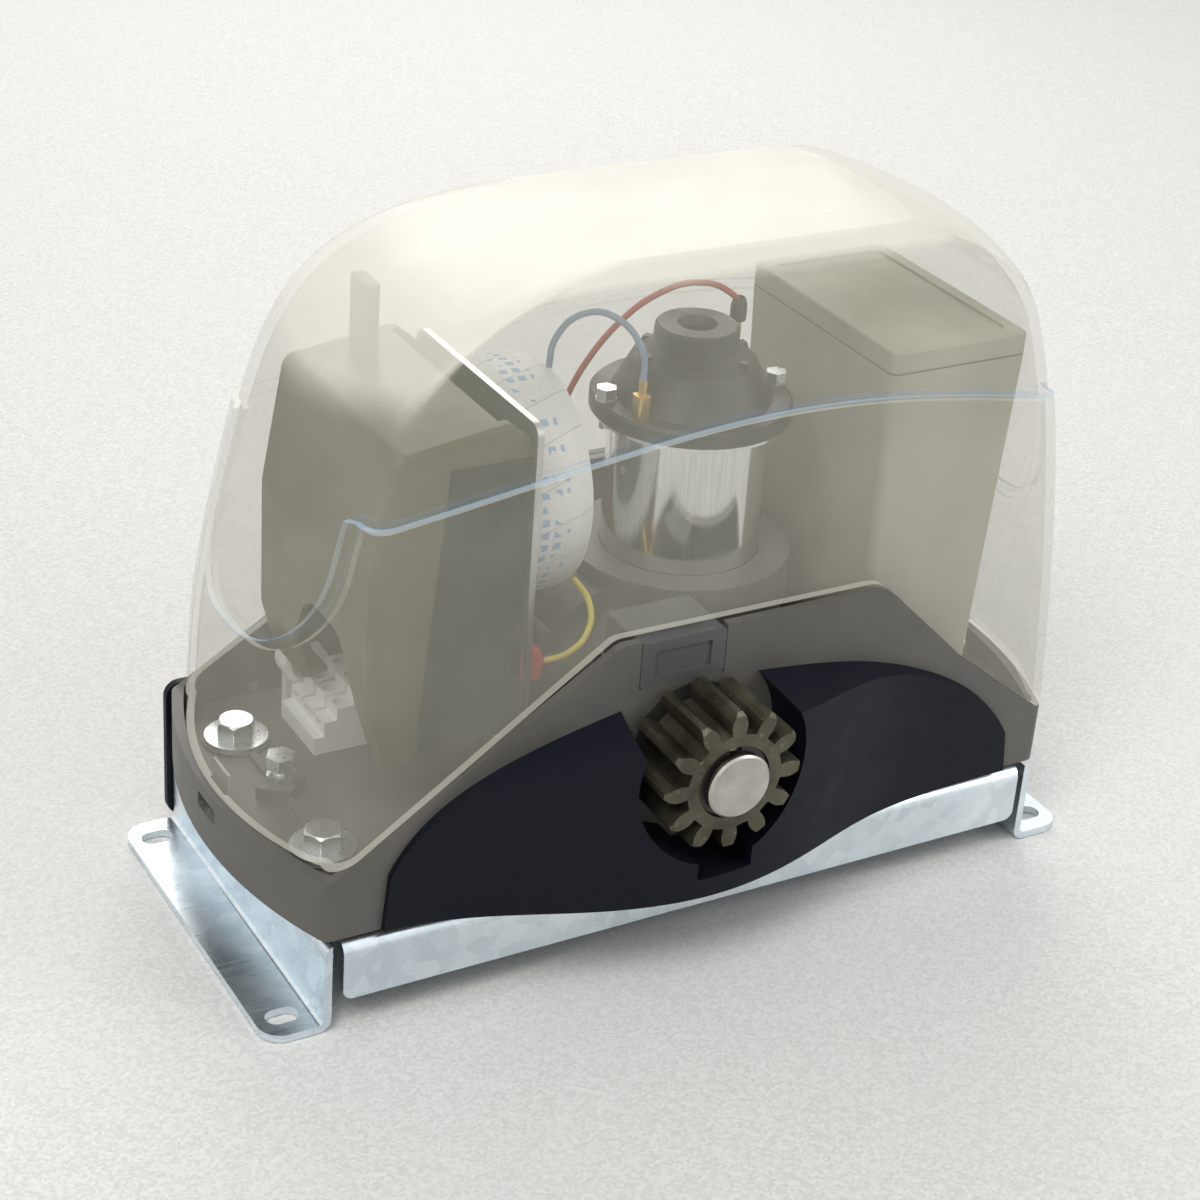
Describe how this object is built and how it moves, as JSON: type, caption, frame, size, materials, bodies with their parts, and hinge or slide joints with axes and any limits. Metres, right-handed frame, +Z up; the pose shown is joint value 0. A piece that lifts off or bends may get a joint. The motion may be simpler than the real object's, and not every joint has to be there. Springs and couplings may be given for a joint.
{
  "type": "sliding gate motor",
  "caption": "Rack-driving sliding gate motor: bent base plate, cast worm gearbox with an upright motor, transformer, control box, batteries and a lift-off clear cover.",
  "frame": {"origin": "middle of the anchor-slot pattern, on the base plate's underside", "axes": "+X along the gate, -Y towards the gate and its rack, +Z up"},
  "size_m": [0.3468, 0.1857, 0.2612],
  "materials": {
    "zinc_plate": "satin",
    "zinc_fixings": "satin",
    "cast_casing": "satin",
    "bearing_steel": "satin",
    "seal_rubber": "matt",
    "panel_plastic": "satin",
    "black_plastic": "matt",
    "shaft_steel": "machined",
    "pinion_steel": "oiled",
    "spring_steel": "blackened",
    "wheel_bronze": "machined",
    "pressed_steel": "satin",
    "can_chrome": "bright",
    "ferrite": "matt",
    "brass": "satin",
    "lamination": "matt",
    "copper_winding": "enamelled",
    "plate_steel": "satin",
    "transformer_tape": "matt",
    "lid_plastic": "satin",
    "base_plastic": "satin",
    "board_green": "satin",
    "relay_plastic": "matt",
    "terminal_green": "matt",
    "capacitor_sleeve": "satin",
    "white_plastic": "matt",
    "cradle_plastic": "matt",
    "battery_plastic": "matt",
    "plug_red": "satin",
    "wire_blue": "satin",
    "wire_red": "satin",
    "wire_yellow": "satin",
    "clear_cover": "satin"
  },
  "bodies": {
    "frame": {"base_plate": "zinc_plate", "holddown_bolts": "zinc_fixings", "holddown_washers": "zinc_fixings", "holddown_nuts": "zinc_fixings", "levelling_screws": "zinc_fixings", "levelling_nuts": "zinc_fixings", "gearbox_screws": "zinc_fixings", "cap_screws": "zinc_fixings", "transformer_bolt": "zinc_fixings", "rear_panel_screws": "zinc_fixings", "board_screws": "zinc_fixings", "terminal_screws": "zinc_fixings", "casing": "cast_casing", "gearbox_cover": "cast_casing", "front_bearing": "bearing_steel", "rear_bearing": "bearing_steel", "rotor_bearings": "bearing_steel", "shaft_seal": "seal_rubber", "front_panel": "panel_plastic", "rear_panel": "panel_plastic", "motor_end_cap": "black_plastic", "brush_holder": "black_plastic", "transformer_cup": "pressed_steel", "motor_can": "can_chrome", "magnets": "ferrite", "brushes": "ferrite", "motor_terminals": "brass", "mounting_plate": "plate_steel", "transformer": "transformer_tape", "control_lid": "lid_plastic", "radio_receiver": "lid_plastic", "control_base": "base_plastic", "circuit_board": "board_green", "board_relays": "relay_plastic", "receiver_socket": "relay_plastic", "board_terminals": "terminal_green", "board_capacitor": "capacitor_sleeve", "mains_terminal_block": "white_plastic", "cable_clamp": "white_plastic", "battery_cradle": "cradle_plastic", "limit_sensor": "cradle_plastic", "battery_case": "battery_plastic", "battery_lid": "battery_plastic", "red_plug": "plug_red", "blue_wire": "wire_blue", "red_wire": "wire_red", "yellow_wire": "wire_yellow"},
    "output": {"output_shaft": "shaft_steel", "shaft_keys": "shaft_steel", "pinion": "pinion_steel", "pinion_clip": "spring_steel", "worm_wheel": "wheel_bronze"},
    "rotor": {"worm_shaft": "shaft_steel", "armature_core": "lamination", "armature_windings": "copper_winding", "commutator": "brass"},
    "sleeve": {"clutch_sleeve": "shaft_steel"},
    "fork": {"clutch_fork": "pressed_steel"},
    "release": {"release_spindle": "pressed_steel"},
    "cover": {"cover": "clear_cover"}
  },
  "joints": [
    {"name": "output_spin", "type": "hinge", "parent": "frame", "child": "output", "pos_m": [-0.011, -0.05, 0.08645], "axis": [0, 1, 0], "continuous": true},
    {"name": "rotor_spin", "type": "hinge", "parent": "frame", "child": "rotor", "pos_m": [0.022, -0.002, 0.15], "axis": [0, 0, 1], "continuous": true},
    {"name": "release_turn", "type": "hinge", "parent": "frame", "child": "release", "pos_m": [-0.075, 0.002, 0.07], "axis": [0, 0, 1], "range_deg": [0, 90]},
    {"name": "fork_shift", "type": "slide", "parent": "frame", "child": "fork", "axis": [0, 1, 0], "range_m": [0, 0.005]},
    {"name": "sleeve_shift", "type": "slide", "parent": "output", "child": "sleeve", "axis": [0, 1, 0], "range_m": [0, 0.005]},
    {"name": "cover_lift", "type": "slide", "parent": "frame", "child": "cover", "axis": [0, 0, 1], "range_m": [0, 0.2]}
  ],
  "couplings": [
    {"joint": "rotor_spin", "follows": "output_spin", "ratio": 44},
    {"joint": "sleeve_shift", "follows": "fork_shift", "ratio": 1},
    {"joint": "release_turn", "follows": "fork_shift", "rad_per_m": 314}
  ]
}
